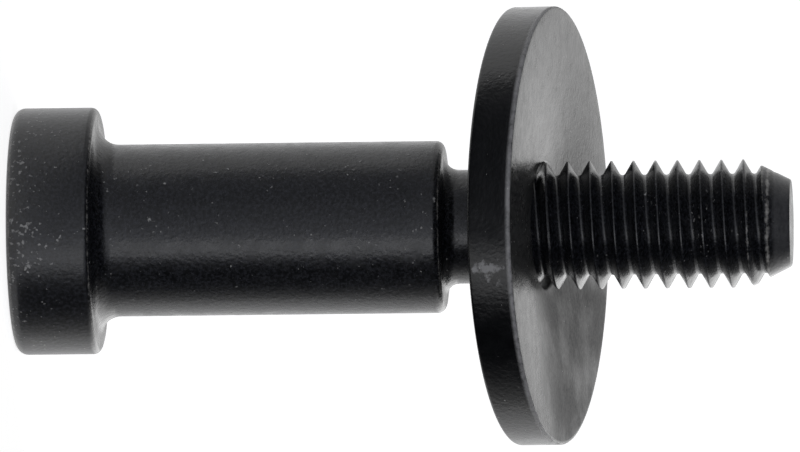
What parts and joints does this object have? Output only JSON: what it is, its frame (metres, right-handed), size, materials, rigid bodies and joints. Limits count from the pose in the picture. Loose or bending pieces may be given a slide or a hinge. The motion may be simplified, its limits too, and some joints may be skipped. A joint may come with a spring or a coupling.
{
  "type": "tailgate striker bolt",
  "caption": "Black steel striker bolt with a round head, a smooth shank that a tailgate latch grips, a threaded end and a loose thick washer.",
  "frame": {"origin": "centre of the head's end face, which the bolt stands on", "axes": "+Z along the bolt to the tip of its thread; the washer leans about the X axis, and its low side is at -Y"},
  "size_m": [0.0318, 0.0318, 0.0562],
  "materials": {
    "bolt": "black oxide, oiled, satin",
    "washer": "black oxide, oiled, smooth satin"
  },
  "bodies": {
    "root": {"striker_bolt": "bolt", "washer": "washer"}
  },
  "joints": []
}
